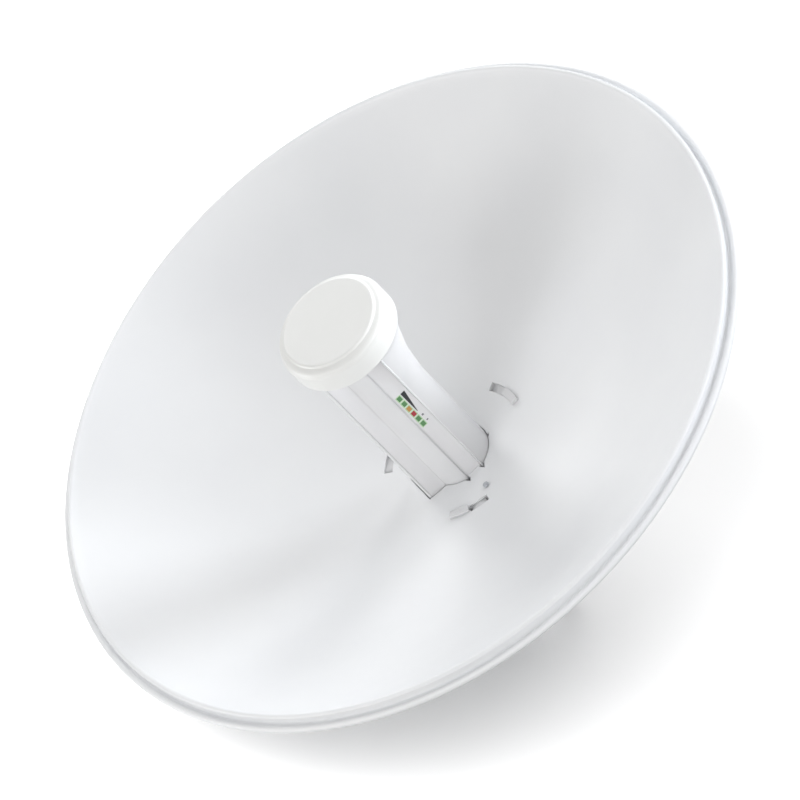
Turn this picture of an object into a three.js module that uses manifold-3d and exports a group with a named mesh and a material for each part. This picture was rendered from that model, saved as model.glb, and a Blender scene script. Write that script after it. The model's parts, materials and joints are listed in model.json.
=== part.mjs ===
// A dish antenna for point-to-point radio links, as an assembly of separate pieces.
// Millimetres. +Z is up, the beam leaves along -Y, and the mast's axis is the Z axis.
import * as THREE from 'three';
import { mergeVertices } from 'three/addons/utils/BufferGeometryUtils.js';
import Module from 'manifold-3d';

const wasm = await Module();
wasm.setup();

// ---------------------------------------------------------------- driving dimensions
const GAP = 0.3; // between pieces that touch
const REACH = 400; // longer than any piece, for cuts that go right through

const MAST_R = 21; // the mast that the clamp is drawn on
const VERTEX_Y = -102; // front of the reflector, on its axis
const FOCAL = 134.5;
const APERTURE_R = 202;
const SHEET = 1.2; // reflector's metal

const SLOT_R = [40, 45]; // three bayonet slots
const SLOT_FROM = 98; // degrees, from +X towards +Z
const SLOT_SPAN = 16;
const HOOK_SPAN = 15.4;
const STEM_SPAN = 9;
const HOOK_COUNT = 3;
const LOCK_SCREW = { x: 34.5, z: -0.6, r: 1.1, headR: 1.75 };

const FACE_Y = VERTEX_Y - 138; // front of the feed
const TUBE_R = 19.2;
const TUBE_WALL = 1.8;
const WING = { x: 10.5, z: -27.5 }; // flat-sided rib under the tube
const TAIL_Y = -84;
const CAP = { faceR: 28.3, r: 33, shoulder: 6.5, back: 17, wall: 2 };
const CAP_SEAT = { r: 30.5, from: 14.6 }; // disc of the body that the cap sits on
const LED_PANEL = { x: 17.1, z: [-4.6, 5], from: 31 };
const LED = { count: 6, first: 60.5, pitch: 5, z: -1.6, hole: 2.4 };

const HOUSING = { x: 36, z: [-40, 36], corner: 16, y: -58, wall: 2.5, flangeR: 52 };
const DOOR = { x: 13, y: [-85, -63], thick: 2.2 };
const GROMMET = { r: 5.6, lip: 7.4, bore: 3.5, centre: [0, -72, -10] };
const YOKE = { y: [-93, -88], x: 23, bar: 3 };
const BUTTON = { x: 7.5, y: [-95.7, -85.3] };

const BRACKET = { plate: 2.5, x: 26.9, z: 31, screw: 14, screwR: 2.4 };
const HEX_R = 5.6; // nut and bolt heads, over their corners
const WASHER = { thick: 1.2, r: 6.4 };
const PIVOT = { y: -38, z: -11, r: 3 };
const LOCK_ARM = 22; // from the pivot up to the locking bolt
const TILT = 20; // degrees each way

const CLAMP = { x: 24, z: 22, front: -30.2, wall: 2.5, lip: -10.4 };
const BAND = { thick: 0.8, width: 12.7, gap: 0.35, bend: 1.2 };

// ---------------------------------------------------------------- small tools
const degrees = (angle) => (angle * Math.PI) / 180;

function finish(color, roughness, metalness = 0) {
  return new THREE.MeshStandardMaterial({ color, roughness, metalness });
}

// A closed mesh with merged corners, faces outwards, as a solid that can be cut and joined.
function solid(geometry) {
  const source = geometry.clone();
  source.deleteAttribute('normal');
  source.deleteAttribute('uv');
  const merged = mergeVertices(source, 1e-4);
  const points = merged.attributes.position.array;
  const index = merged.index.array;
  const corner = (i) => new THREE.Vector3().fromArray(points, 3 * i);
  const triangles = [];
  let volume = 0;
  for (let i = 0; i < index.length; i += 3) {
    const [a, b, c] = [index[i], index[i + 1], index[i + 2]];
    if (a === b || b === c || c === a) continue;
    triangles.push(a, b, c);
    volume += corner(a).dot(corner(b).cross(corner(c)));
  }
  if (volume < 0) {
    for (let i = 0; i < triangles.length; i += 3) {
      [triangles[i], triangles[i + 1]] = [triangles[i + 1], triangles[i]];
    }
  }
  return new wasm.Manifold(new wasm.Mesh({
    numProp: 3,
    vertProperties: Float32Array.from(points),
    triVerts: Uint32Array.from(triangles),
  }));
}

function geometryOf(body) {
  const mesh = body.getMesh();
  const geometry = new THREE.BufferGeometry();
  geometry.setAttribute('position', new THREE.BufferAttribute(mesh.vertProperties, 3));
  geometry.setIndex(new THREE.BufferAttribute(mesh.triVerts, 1));
  geometry.computeVertexNormals();
  return geometry;
}

const join = (...bodies) => bodies.reduce((whole, body) => whole.add(body));
const cut = (body, ...tools) => tools.reduce((rest, tool) => rest.subtract(tool), body);

function box(x, y, z) {
  const shape = new THREE.BoxGeometry(x[1] - x[0], y[1] - y[0], z[1] - z[0]);
  shape.translate((x[0] + x[1]) / 2, (y[0] + y[1]) / 2, (z[0] + z[1]) / 2);
  return solid(shape);
}

// Profile points are [radius, y]; the axis of revolution is Y.
function turned(profile, segments) {
  const points = profile.map(([r, y]) => new THREE.Vector2(r, y));
  return solid(new THREE.LatheGeometry(points, segments));
}

// A rod along one axis ('x', 'y' or 'z'), between two places on it, around centre.
function rod(axis, from, to, radius, centre, segments = 20, endRadius = radius) {
  const shape = new THREE.CylinderGeometry(endRadius, radius, to - from, segments);
  shape.translate(0, (from + to) / 2, 0);
  if (axis === 'x') shape.rotateZ(-Math.PI / 2);
  if (axis === 'z') shape.rotateX(Math.PI / 2);
  shape.translate(...centre);
  return solid(shape);
}

// Outlines drawn in X and Z, swept along Y.
function alongY(outline, from, to, curveSegments = 12) {
  const shape = new THREE.ExtrudeGeometry(outline, {
    depth: to - from, bevelEnabled: false, curveSegments,
  });
  shape.rotateX(Math.PI / 2);
  shape.translate(0, to, 0);
  return solid(shape);
}

// Outlines drawn in Y and Z, swept along X.
function alongX(outline, from, to, curveSegments = 12) {
  const shape = new THREE.ExtrudeGeometry(outline, {
    depth: to - from, bevelEnabled: false, curveSegments,
  });
  const turn = new THREE.Matrix4().makeBasis(
    new THREE.Vector3(0, 1, 0), new THREE.Vector3(0, 0, 1), new THREE.Vector3(1, 0, 0),
  );
  shape.applyMatrix4(turn);
  shape.translate(from, 0, 0);
  return solid(shape);
}

// Outlines drawn in X and Y, swept along Z.
function alongZ(outline, from, to, curveSegments = 12) {
  const shape = new THREE.ExtrudeGeometry(outline, {
    depth: to - from, bevelEnabled: false, curveSegments,
  });
  shape.translate(0, 0, from);
  return solid(shape);
}

function polygon(points) {
  return new THREE.Shape(points.map(([u, v]) => new THREE.Vector2(u, v)));
}

function roundedRectangle([u0, u1], [v0, v1], r) {
  const outline = new THREE.Shape();
  outline.moveTo(u1 - r, v0);
  outline.absarc(u1 - r, v0 + r, r, -Math.PI / 2, 0);
  outline.absarc(u1 - r, v1 - r, r, 0, Math.PI / 2);
  outline.absarc(u0 + r, v1 - r, r, Math.PI / 2, Math.PI);
  outline.absarc(u0 + r, v0 + r, r, Math.PI, 1.5 * Math.PI);
  return outline;
}

// Part of a flat ring, between two radii and two angles.
function ringSector([inner, outer], fromDegrees, toDegrees) {
  const outline = new THREE.Shape();
  outline.absarc(0, 0, outer, degrees(fromDegrees), degrees(toDegrees), false);
  outline.absarc(0, 0, inner, degrees(toDegrees), degrees(fromDegrees), true);
  return outline;
}

function hexagon(radius) {
  const corners = [0, 1, 2, 3, 4, 5].map((i) => {
    const angle = degrees(60 * i);
    return [radius * Math.cos(angle), radius * Math.sin(angle)];
  });
  return polygon(corners);
}

// ---------------------------------------------------------------- colours
const WHITE_PAINT = finish('#f1f1ef', 0.35, 0.1);
const WHITE_PLASTIC = finish('#e9e8e4', 0.45);
const CAP_PLASTIC = finish('#e6e3d9', 0.4);
const GREY_PLASTIC = finish('#b9bbbc', 0.5);
const LABEL = finish('#c9ccd0', 0.55);
const ZINC = finish('#b7bbbf', 0.38, 1);
const STAINLESS = finish('#c3c5c8', 0.3, 1);
const ALUMINIUM = finish('#c5c8ca', 0.4, 1);
const BRASS = finish('#c2a04e', 0.3, 1);
const BOARD = finish('#1f5b3a', 0.55);
const RUBBER = finish('#232425', 0.8);
const CLEAR = finish('#e8f0ea', 0.15);

const antenna = new THREE.Group();

function place(name, body, material, group) {
  const mesh = new THREE.Mesh(geometryOf(body), material);
  mesh.name = name;
  group.add(mesh);
}

// ---------------------------------------------------------------- shapes that pieces share
const bowlY = (r) => VERTEX_Y - (r * r) / (4 * FOCAL);
const sheetDepth = (r) => SHEET * Math.hypot(1, r / (2 * FOCAL));
const backY = (r) => bowlY(r) + sheetDepth(r);
const spread = (from, to, steps) =>
  Array.from({ length: steps + 1 }, (_, i) => from + ((to - from) * i) / steps);

// The feed's cross-section: a round tube with a flat-sided rib under it.
function feedSection(offset) {
  const r = TUBE_R + offset;
  const x = WING.x + offset;
  const z = WING.z - offset;
  const meet = Math.acos(x / r);
  const outline = new THREE.Shape();
  outline.moveTo(x, z);
  outline.lineTo(x, -r * Math.sin(meet));
  outline.absarc(0, 0, r, -meet, Math.PI + meet, false);
  outline.lineTo(-x, z);
  return outline;
}

// ---------------------------------------------------------------- reflector
const reflector = new THREE.Group();
antenna.add(reflector);

function dish() {
  const rim = bowlY(APERTURE_R);
  const radii = [0, 30, ...spread(50, APERTURE_R, 5)];
  const front = radii.map((r) => [r, bowlY(r)]);
  const rolledRim = [
    [203.2, -1], [204.8, -0.8], [206.2, 3.2], [208.6, 3.5],
    [210, 5.2], [208.8, 7.9], [206.2, 7.9], [204.6, 6.4],
  ].map(([r, y]) => [r, rim + y]);
  const back = radii.toReversed().map((r) => [r, backY(r)]);
  let body = turned([...front, ...rolledRim, ...back], 64);
  body = body.subtract(alongY(feedSection(0.9), -REACH, 0));
  for (let i = 0; i < HOOK_COUNT; i += 1) {
    const from = SLOT_FROM + (360 / HOOK_COUNT) * i;
    const entry = ringSector(SLOT_R, from, from + SLOT_SPAN);
    const neck = ringSector([41.1, 43.9], from - SLOT_SPAN + 3, from + 1);
    body = cut(body, alongY(entry, -REACH, 0, 6), alongY(neck, -REACH, 0, 6));
  }
  for (const side of [-1, 1]) {
    const centre = [side * LOCK_SCREW.x, 0, LOCK_SCREW.z];
    body = body.subtract(rod('y', -REACH, 0, LOCK_SCREW.r + GAP, centre, 12));
  }
  return body;
}
place('reflector_dish', dish(), WHITE_PAINT, reflector);

function housingHook(index) {
  const middle = SLOT_FROM - SLOT_SPAN / 2 + (360 / HOOK_COUNT) * index;
  const sector = (radii, span) =>
    alongY(ringSector(radii, middle - span / 2, middle + span / 2), -REACH, 0, 6);
  const radii = spread(40.3, 44.7, 2);
  const lipFace = radii.map((r) => [r, bowlY(r) - GAP]);
  const lipTop = radii.toReversed().map((r) => [r, bowlY(r) - GAP - 2]);
  const lip = turned([...lipFace, ...lipTop, lipFace[0]], 48).intersect(sector([40, 45], HOOK_SPAN));
  const stemBox = box([-60, 60], [bowlY(45) - 1, VERTEX_Y + 2], [-60, 60]);
  return lip.add(sector([41.5, 43.5], STEM_SPAN).intersect(stemBox));
}

function housing() {
  const [bottom, top] = HOUSING.z;
  const wall = HOUSING.wall;
  const flangeBack = VERTEX_Y + SHEET + 3.5;
  const radii = spread(0, HOUSING.flangeR, 4);
  const face = radii.map((r) => [r, backY(r) + GAP]);
  const flange = turned([...face, [HOUSING.flangeR, flangeBack - 5], [48, flangeBack], [0, flangeBack]], 48);
  const outer = roundedRectangle([-HOUSING.x, HOUSING.x], [bottom, top], HOUSING.corner);
  const inner = roundedRectangle(
    [-HOUSING.x + wall, HOUSING.x - wall], [bottom + wall, top - wall], HOUSING.corner - wall,
  );
  let body = flange.add(alongY(outer, VERTEX_Y + SHEET + 1, HOUSING.y, 6));
  body = body.subtract(alongY(inner, flangeBack, HOUSING.y - wall, 6));
  body = body.subtract(alongY(feedSection(0.5), -REACH, flangeBack + 1));
  const shelf = box([-12, 12], [flangeBack - 1, -80], [26.5, 28.5]);
  body = body.add(shelf);
  body = cut(
    body,
    box([-4, 4], [YOKE.y[0] - 0.4, YOKE.y[1] + 0.4], [20, 30]),
    box([-BUTTON.x - 0.4, BUTTON.x + 0.4], [BUTTON.y[0] - 0.4, BUTTON.y[1] + 0.4], [30, 40]),
    box([-DOOR.x - 0.4, DOOR.x + 0.4], [DOOR.y[0] - 2.6, DOOR.y[1] + 0.4], [bottom - 1, bottom + 4]),
    rod('x', -HOUSING.x - 1, -HOUSING.x + 4, GROMMET.r + GAP, GROMMET.centre, 20),
  );
  for (const x of [-1, 1]) {
    for (const z of [-1, 1]) {
      const centre = [x * BRACKET.screw, 0, z * BRACKET.screw];
      body = body.subtract(rod('y', -70, -50, BRACKET.screwR + GAP, centre, 12));
    }
    const centre = [x * LOCK_SCREW.x, 0, LOCK_SCREW.z];
    body = body.subtract(rod('y', -REACH, flangeBack + 4, LOCK_SCREW.r + GAP, centre, 12));
  }
  for (let i = 0; i < HOOK_COUNT; i += 1) body = body.add(housingHook(i));
  return body;
}
place('rear_housing', housing(), WHITE_PLASTIC, reflector);

function lockScrew(side) {
  const centre = [side * LOCK_SCREW.x, 0, LOCK_SCREW.z];
  const face = bowlY(LOCK_SCREW.x + LOCK_SCREW.headR) - GAP;
  const head = rod('y', face - 0.9, face, LOCK_SCREW.headR, centre, 16);
  return head.add(rod('y', face - 0.1, VERTEX_Y + SHEET + 7, LOCK_SCREW.r, centre, 12));
}
place('lock_screw_right', lockScrew(1), ZINC, reflector);
place('lock_screw_left', lockScrew(-1), ZINC, reflector);

// Cable grommet in the housing's left wall: a sleeve with a lip on each side of the wall.
function grommet() {
  const outside = -HOUSING.x - GAP;
  const inside = -HOUSING.x + HOUSING.wall + GAP;
  const { r, lip, bore, centre } = GROMMET;
  const sleeve = join(
    rod('x', outside - 1.2, inside + 1.2, r, centre, 20),
    rod('x', outside - 1.2, outside, lip, centre, 20),
    rod('x', inside, inside + 1.2, lip, centre, 20),
  );
  return sleeve.subtract(rod('x', -60, 0, bore, centre, 16));
}
place('cable_grommet', grommet(), RUBBER, reflector);

// Door over the cable socket, hinged at its front edge.
function door() {
  const [bottom] = HOUSING.z;
  const plate = box([-DOOR.x, DOOR.x], [DOOR.y[0], DOOR.y[1]], [bottom, bottom + DOOR.thick]);
  const barrel = rod('x', -DOOR.x, DOOR.x, 1.8, [0, DOOR.y[0], bottom + 1.8], 14);
  const grip = box([-5, 5], [DOOR.y[1] - 3, DOOR.y[1] - 1.5], [bottom - 0.9, bottom + 0.5]);
  return join(plate, barrel, grip);
}
place('port_cover', door(), WHITE_PLASTIC, reflector);

// ---------------------------------------------------------------- feed release
const yokeMiddle = (YOKE.y[0] + YOKE.y[1]) / 2;

function yoke() {
  const { x, bar } = YOKE;
  const outer = roundedRectangle([-x, x], [-31, 26.2], 3);
  const inside = box([-x + bar - 0.4, x - bar + 0.4], [-REACH, 0], [WING.z - GAP, 23.2]);
  const frame = alongY(outer, YOKE.y[0], YOKE.y[1], 4).subtract(inside);
  const stem = box([-2.8, 2.8], YOKE.y, [25, 33.2]);
  return frame.add(stem);
}
place('release_yoke', yoke(), GREY_PLASTIC, reflector);

function button() {
  const [, top] = HOUSING.z;
  const cap = alongY(
    roundedRectangle([-BUTTON.x, BUTTON.x], [33.5, top + 1.2], 0.8), BUTTON.y[0], BUTTON.y[1], 3,
  );
  const ribs = [-3, 0, 3].map((offset) => box(
    [-5, 5], [yokeMiddle + offset - 0.5, yokeMiddle + offset + 0.5], [top + 1, top + 1.8],
  ));
  return join(cap, ...ribs);
}
place('release_button', button(), GREY_PLASTIC, reflector);

// Coil spring between the shelf and the button, round the yoke's stem.
function coilSpring() {
  const [turns, radius, wire, steps] = [2.5, 4.9, 0.4, 10];
  const from = 28.5 + GAP + wire;
  const to = 33.5 - GAP - wire;
  const points = spread(0, turns * steps, turns * steps).map((i) => {
    const angle = degrees((360 * i) / steps);
    const z = from + ((to - from) * i) / (turns * steps);
    return new THREE.Vector3(radius * Math.cos(angle), yokeMiddle + radius * Math.sin(angle), z);
  });
  const section = new THREE.Shape();
  section.absarc(0, 0, wire, 0, 2 * Math.PI);
  return solid(new THREE.ExtrudeGeometry(section, {
    extrudePath: new THREE.CatmullRomCurve3(points), steps: 40, curveSegments: 3, bevelEnabled: false,
  }));
}
place('release_spring', coilSpring(), STAINLESS, reflector);

// ---------------------------------------------------------------- feed
const feed = new THREE.Group();
antenna.add(feed);
const behindFace = (distance) => FACE_Y + distance;

// The tube widens towards the cap on its upper side only.
function flare() {
  const profile = [[31, 17], [27, 29], [24, 40], [21.7, 49], [20.3, 60], [TUBE_R, 71]];
  const points = profile.map(([r, b]) => [r, behindFace(b)]);
  const whole = turned([[0, behindFace(17)], ...points, [0, behindFace(71)]], 56);
  return whole.intersect(box([-40, 40], [FACE_Y, 0], [LED_PANEL.z[1], 40]));
}

function feedBody() {
  const seat = rod('y', behindFace(CAP_SEAT.from), behindFace(CAP.back), CAP_SEAT.r, [0, 0, 0], 48);
  const [panelBottom, panelTop] = LED_PANEL.z;
  let body = join(alongY(feedSection(0), behindFace(CAP_SEAT.from), TAIL_Y, 16), flare(), seat);
  body = body.subtract(box(
    [LED_PANEL.x, 40], [behindFace(LED_PANEL.from), VERTEX_Y + 2], [panelBottom, panelTop],
  ));
  const core = alongY(feedSection(-TUBE_WALL), behindFace(10), TAIL_Y + 1, 12);
  body = body.subtract(core.intersect(box([-30, LED_PANEL.x - TUBE_WALL], [-REACH, 0], [-40, 40])));
  body = body.subtract(box([-6, 6], [YOKE.y[0] - 0.2, YOKE.y[1] + 0.2], [-30, WING.z + 1.2]));
  for (let i = 0; i < LED.count; i += 1) {
    const y = behindFace(LED.first + LED.pitch * i);
    const half = LED.hole / 2;
    body = body.subtract(box([10, 20], [y - half, y + half], [LED.z - half, LED.z + half]));
  }
  return body;
}
place('feed_body', feedBody(), WHITE_PLASTIC, feed);

// A flat face, a fine step round it, and a shoulder that drops to the side.
function capShell() {
  const { faceR, r, shoulder, back, wall } = CAP;
  const outside = [
    [0, 0], [faceR - 1.8, 0], [faceR, 0.7], [faceR + 0.9, 1.6],
    [r - 1.2, shoulder - 2.9], [r, shoulder], [r, back - 1], [r - 1, back],
  ];
  const inside = [[r - wall, back], [r - wall, shoulder], [faceR, wall], [0, wall]];
  return turned([...outside, ...inside].map(([u, b]) => [u, behindFace(b)]), 48);
}
place('feed_cap', capShell(), CAP_PLASTIC, feed);

function ring(radius, thickness, y, segments) {
  const profile = spread(0, 360, 6).map((angle) => [
    radius + thickness * Math.cos(degrees(angle)), y + thickness * Math.sin(degrees(angle)),
  ]);
  return turned(profile, segments);
}
const SEAL = { r: 29, thick: 0.9 };
place('cap_seal', ring(SEAL.r, SEAL.thick, behindFace(CAP_SEAT.from - GAP - SEAL.thick), 40), RUBBER, feed);

// Small dished mirror behind the cap's face, and the crossed radiators that light it.
function subreflector() {
  const profile = [[0, 3], [27, 3.6], [27, 4.6], [14, 4.6], [0, 6.4]];
  return turned(profile.map(([r, b]) => [r, behindFace(b)]), 40);
}
place('subreflector', subreflector(), ALUMINIUM, feed);

function radiators() {
  const y = [behindFace(15), behindFace(16)];
  const arm = (turn) => box([-13, 13], y, [-1.6, 1.6]).rotate([0, turn, 0]);
  return cut(join(arm(45), arm(-45)), rod('y', y[0] - 1, y[1] + 1, 1.2, [0, 0, 0], 12));
}
place('radiators', radiators(), BRASS, feed);

function radiatorStem() {
  const tube = rod('y', behindFace(16 + GAP), behindFace(54), 3.2, [0, 0, 0], 16);
  return tube.subtract(rod('y', behindFace(10), behindFace(60), 2.2, [0, 0, 0], 12));
}
place('radiator_stem', radiatorStem(), BRASS, feed);

const BOARD_X = [-8.3, -6.7];
place('radio_board', box(BOARD_X, [behindFace(56), TAIL_Y - 3.2], [-25.2, 13.5]), BOARD, feed);

function shieldCan(from, to) {
  const x = [BOARD_X[1] + GAP, BOARD_X[1] + GAP + 3];
  const shell = box(x, [behindFace(from), behindFace(to)], [-10, 12]);
  return shell.subtract(box(
    [x[0] - 1, x[1] - 0.4], [behindFace(from) + 0.4, behindFace(to) - 0.4], [-9.6, 11.6],
  ));
}
place('shield_can_front', shieldCan(60, 86), ALUMINIUM, feed);
place('shield_can_rear', shieldCan(90, 116), ALUMINIUM, feed);

// Cable socket on the board, opening through the tail.
function cableSocket() {
  const x = [BOARD_X[1] + GAP, BOARD_X[1] + GAP + 13.4];
  const z = [-25.2, -9.6];
  const y = [TAIL_Y - 21, TAIL_Y - 3.2];
  const opening = box([x[0] + 1.2, x[1] - 2.4], [y[0] + 4, y[1] + 1], [z[0] + 2, z[1] - 2]);
  return box(x, y, z).subtract(opening);
}
place('cable_socket', cableSocket(), STAINLESS, feed);

const RESET = { z: 3, r: 1.6 };
function endCap() {
  const plate = alongY(feedSection(-TUBE_WALL - GAP), TAIL_Y - 2.8, TAIL_Y - 0.4, 12);
  const trimmed = plate.intersect(box([-30, LED_PANEL.x - TUBE_WALL - GAP], [-REACH, 0], [-40, 40]));
  return cut(
    trimmed,
    box([-5.4, 4.8], [TAIL_Y - 5, TAIL_Y + 1], [-23.4, -11.4]),
    rod('y', TAIL_Y - 5, TAIL_Y + 1, RESET.r + GAP, [0, 0, RESET.z], 14),
  );
}
place('feed_end_cap', endCap(), GREY_PLASTIC, feed);

function resetButton() {
  const pin = rod('y', TAIL_Y - 5.6, TAIL_Y - 0.2, RESET.r, [0, 0, RESET.z], 12);
  return pin.add(rod('y', TAIL_Y - 5.6, TAIL_Y - 4.1, 2.6, [0, 0, RESET.z], 12));
}
place('reset_button', resetButton(), GREY_PLASTIC, feed);

// One clear bar with a post behind each window of the indicator strip.
function lightGuide() {
  const last = LED.first + LED.pitch * (LED.count - 1);
  const bar = box(
    [11.2, 13.2], [behindFace(LED.first - 2), behindFace(last + 2)], [LED.z - 1.4, LED.z + 1.4],
  );
  const posts = spread(0, LED.count - 1, LED.count - 1).map((i) => {
    const y = behindFace(LED.first + LED.pitch * i);
    return box([13, 16.9], [y - 0.9, y + 0.9], [LED.z - 0.9, LED.z + 0.9]);
  });
  return join(bar, ...posts);
}
place('led_light_guide', lightGuide(), CLEAR, feed);

const labelY = (from) => [behindFace(from), VERTEX_Y - GAP];
const LABEL_THICK = 0.4;
place('led_label', box(
  [LED_PANEL.x + GAP, LED_PANEL.x + GAP + LABEL_THICK],
  labelY(LED_PANEL.from + 0.4), [LED_PANEL.z[0] + 0.4, LED_PANEL.z[1] - 0.4],
), LABEL, feed);
place('side_label', box(
  [WING.x + GAP, WING.x + GAP + LABEL_THICK], labelY(19), [WING.z + 0.6, -16.6],
), LABEL, feed);

// ---------------------------------------------------------------- tilting bracket
const lockZ = PIVOT.z + LOCK_ARM;

function armOutline() {
  const root = HOUSING.y + GAP + 2;
  const outline = new THREE.Shape();
  outline.moveTo(root, -BRACKET.z + 8);
  outline.lineTo(PIVOT.y, PIVOT.z - 9);
  outline.absarc(PIVOT.y, PIVOT.z, 9, -Math.PI / 2, 0);
  outline.lineTo(PIVOT.y + 16.5, lockZ - 2);
  outline.absarc(PIVOT.y + 10, lockZ, 6.5, 0, Math.PI / 2);
  outline.lineTo(root, BRACKET.z - 8);
  return outline;
}

function tiltBracket() {
  const plateY = [HOUSING.y + GAP, HOUSING.y + GAP + BRACKET.plate];
  const plate = alongY(
    roundedRectangle([-BRACKET.x, BRACKET.x], [-BRACKET.z, BRACKET.z], 6), plateY[0], plateY[1], 4,
  );
  const arms = [-1, 1].map((side) => {
    const inner = BRACKET.x - BRACKET.plate;
    return alongX(armOutline(), side < 0 ? -BRACKET.x : inner, side < 0 ? -inner : BRACKET.x, 8);
  });
  let body = join(plate, ...arms);
  const track = new THREE.Shape();
  const half = degrees(TILT + 10);
  const [near, far] = [LOCK_ARM - PIVOT.r - GAP, LOCK_ARM + PIVOT.r + GAP];
  track.absarc(PIVOT.y, PIVOT.z, far, Math.PI / 2 - half, Math.PI / 2 + half, false);
  track.absarc(PIVOT.y, PIVOT.z, near, Math.PI / 2 + half, Math.PI / 2 - half, true);
  body = cut(
    body, alongX(track, -REACH, REACH, 10),
    rod('x', -REACH, REACH, PIVOT.r + GAP, [0, PIVOT.y, PIVOT.z], 16),
  );
  for (const x of [-1, 1]) {
    for (const z of [-1, 1]) {
      const centre = [x * BRACKET.screw, 0, z * BRACKET.screw];
      body = body.subtract(rod('y', -70, -50, BRACKET.screwR + GAP, centre, 12));
    }
  }
  return body;
}
place('tilt_bracket', tiltBracket(), ZINC, reflector);

function bracketScrew(x, z) {
  const seat = HOUSING.y + GAP + BRACKET.plate + GAP;
  const shank = rod('y', HOUSING.y - HOUSING.wall - 1, seat + 0.2, BRACKET.screwR, [x, 0, z], 12);
  const head = rod('y', seat, seat + 3, 4.4, [x, 0, z], 18, 4);
  const key = rod('y', seat + 1.4, seat + 4, 1.8, [x, 0, z], 6);
  return join(shank, head).subtract(key);
}
for (const [corner, x, z] of [
  ['upper_right', 1, 1], ['upper_left', -1, 1], ['lower_right', 1, -1], ['lower_left', -1, -1],
]) {
  const screw = bracketScrew(x * BRACKET.screw, z * BRACKET.screw);
  place(`bracket_screw_${corner}`, screw, STAINLESS, reflector);
}

// ---------------------------------------------------------------- mast clamp
const clamp = new THREE.Group();
antenna.add(clamp);

// Drawn profile: two forward cheeks, a web, and a 120 degree seat backed by two hollow cells.
function clampBody() {
  const { x, z, front, wall, lip } = CLAMP;
  const apex = -MAST_R / Math.sin(degrees(60));
  const seat = polygon([[-x, front], [x, front], [x, lip], [0, apex], [-x, lip]]);
  const inset = wall / Math.sin(degrees(60));
  const slope = Math.tan(degrees(30));
  const reach = x - wall;
  let body = alongZ(seat, -z, z);
  for (const side of [-1, 1]) {
    const cell = polygon([
      [side * 5, front + wall], [side * reach, front + wall],
      [side * reach, apex + reach * slope - inset], [side * 5, apex + 5 * slope - inset],
    ]);
    body = body.subtract(alongZ(cell, -z - 1, z + 1));
  }
  const cheek = new THREE.Shape();
  cheek.moveTo(front + 1, PIVOT.z - 8);
  cheek.lineTo(PIVOT.y, PIVOT.z - 8);
  cheek.absarc(PIVOT.y, PIVOT.z, 8, -Math.PI / 2, Math.PI, true);
  cheek.absarc(PIVOT.y, lockZ, 6.5, Math.PI, Math.PI / 2, true);
  cheek.lineTo(front + 1, lockZ + 6.5);
  for (const side of [-1, 1]) {
    const span = side < 0 ? [-x, -x + wall] : [x - wall, x];
    body = body.add(alongX(cheek, span[0], span[1], 8));
  }
  const bandHalf = BAND.width / 2 + 0.5;
  return cut(
    body,
    rod('x', -60, 60, PIVOT.r + GAP, [0, PIVOT.y, PIVOT.z], 16),
    rod('x', -60, 60, PIVOT.r + GAP, [0, PIVOT.y, lockZ], 16),
    box([MAST_R - 1, 40], [front - 2.6, 0], [-bandHalf, bandHalf]),
    box([-40, -MAST_R + 1], [front - 2.6, 0], [-bandHalf, bandHalf]),
  );
}
place('mast_clamp', clampBody(), ALUMINIUM, clamp);

// Worm-drive band: round the back of the mast and across the front of the clamp's web.
function band() {
  const inner = MAST_R + BAND.gap;
  const front = CLAMP.front - BAND.gap;
  const loop = (grow) => {
    const r = inner + grow;
    const outline = new THREE.Shape();
    outline.absarc(0, 0, r, 0, Math.PI, false);
    const bend = BAND.bend + grow;
    outline.absarc(-inner + BAND.bend, front + BAND.bend, bend, Math.PI, 1.5 * Math.PI, false);
    outline.absarc(inner - BAND.bend, front + BAND.bend, bend, 1.5 * Math.PI, 2 * Math.PI, false);
    return outline;
  };
  const outside = alongZ(loop(BAND.thick), -BAND.width / 2, BAND.width / 2, 14);
  return outside.subtract(alongZ(loop(0), -BAND.width, BAND.width, 14));
}
place('clamp_band', band(), STAINLESS, clamp);

const worm = new THREE.Group(); // sits on the band, rear left; local X runs out from the mast
worm.rotation.z = degrees(135);
clamp.add(worm);
const WORM_SEAT = MAST_R + BAND.gap + BAND.thick + GAP;
const WORM_R = 3.2;

function wormHousing() {
  const outline = roundedRectangle([WORM_SEAT, WORM_SEAT + 8.6], [-7, 7], 2.4);
  const shell = alongZ(outline, -8, 8, 4);
  return cut(
    shell, rod('y', -20, 20, WORM_R + GAP, [WORM_SEAT + 4.3, 0, 0], 16),
    rod('z', -20, 20, WORM_SEAT + 0.2, [0, 0, 0], 60),
  );
}
place('worm_housing', wormHousing(), STAINLESS, worm);

function wormScrew() {
  const centre = [WORM_SEAT + 4.3, 0, 0];
  const thread = rod('y', -6.6, 7 + GAP + 0.1, WORM_R, centre, 16);
  const hex = new THREE.ExtrudeGeometry(hexagon(4.1), { depth: 4.4, bevelEnabled: false });
  hex.rotateX(Math.PI / 2);
  hex.translate(centre[0], 7 + GAP + 4.4, 0);
  const slot = box([centre[0] - 5, centre[0] + 5], [10.6, 13], [-0.6, 0.6]);
  return thread.add(solid(hex)).subtract(slot);
}
place('worm_screw', wormScrew(), STAINLESS, worm);

// ---------------------------------------------------------------- pivot and locking bolts
const boltSeat = BRACKET.x + GAP;

function hexAlongX(radius, from, to, [, y, z]) {
  const shape = alongX(hexagon(radius), from, to);
  return shape.translate([0, y, z]);
}

function washer(from, [, y, z]) {
  const plate = rod('x', from, from + WASHER.thick, WASHER.r, [0, y, z], 24);
  return plate.subtract(rod('x', from - 1, from + 3, PIVOT.r + GAP, [0, y, z], 16));
}

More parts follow.
